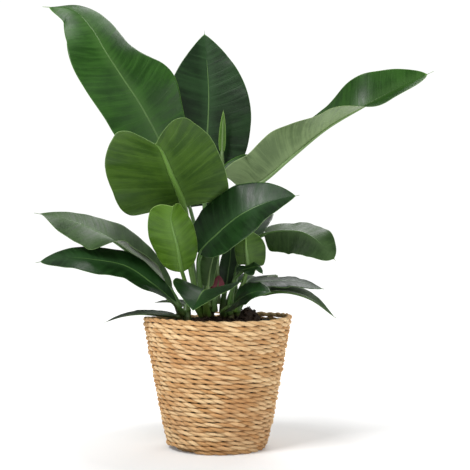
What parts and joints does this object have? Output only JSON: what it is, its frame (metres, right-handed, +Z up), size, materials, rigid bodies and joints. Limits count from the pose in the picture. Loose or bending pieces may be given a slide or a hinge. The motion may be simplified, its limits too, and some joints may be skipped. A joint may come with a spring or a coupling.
{
  "type": "philodendron in basket",
  "caption": "Potted philodendron with broad glossy leaves on upright stalks, in a tapered woven seagrass basket with a nursery pot inside; stands on a flat surface as a house plant.",
  "frame": {"origin": "centre of the basket's flat underside", "axes": "+Z up; the front of the plant faces -Y; +X to the right seen from the front"},
  "size_m": [0.5527, 0.3976, 0.6339],
  "materials": {
    "seagrass": "natural twisted seagrass rope, matt, golden tan",
    "liner_film": "thin black plastic film",
    "pot_plastic": "brown thin-walled nursery pot plastic",
    "soil": "dark crumbly potting soil",
    "stem_green": "smooth green stem",
    "leaf_dark": "glossy dark green leaf",
    "leaf_mid": "glossy mid green leaf",
    "leaf_bright": "young yellow-green leaf",
    "leaf_pale": "pale grey-green leaf back",
    "sheath_red": "dry red leaf sheath"
  },
  "bodies": {
    "root": {"basket": "seagrass", "basket_liner": "liner_film", "nursery_pot": "pot_plastic", "potting_soil": "soil", "shoot_main": "stem_green", "shoot_right": "stem_green", "shoot_left": "stem_green", "leaf_tall_left": "leaf_mid", "leaf_big_front": "leaf_mid", "leaf_young_front": "leaf_bright", "leaf_tall_back": "leaf_dark", "new_leaf_spear": "leaf_bright", "leaf_long_right": "leaf_mid", "leaf_dark_right": "leaf_dark", "leaf_side_right": "leaf_dark", "leaf_young_right": "leaf_bright", "leaf_curled_right": "leaf_dark", "leaf_narrow_right": "leaf_dark", "leaf_arching_right": "leaf_dark", "leaf_low_right": "leaf_dark", "leaf_low_front": "leaf_dark", "leaf_upper_left": "leaf_dark", "leaf_lower_left": "leaf_dark", "leaf_rim_left": "leaf_dark", "leaf_small_left": "leaf_dark", "leaf_inner_pale": "leaf_pale", "leaf_inner_dark": "leaf_dark", "red_sheath": "sheath_red", "leaf_back_tall": "leaf_dark", "leaf_back_right": "leaf_dark", "leaf_back_left": "leaf_dark", "leaf_back_low": "leaf_dark", "leaf_back_middle": "leaf_dark"}
  },
  "joints": []
}
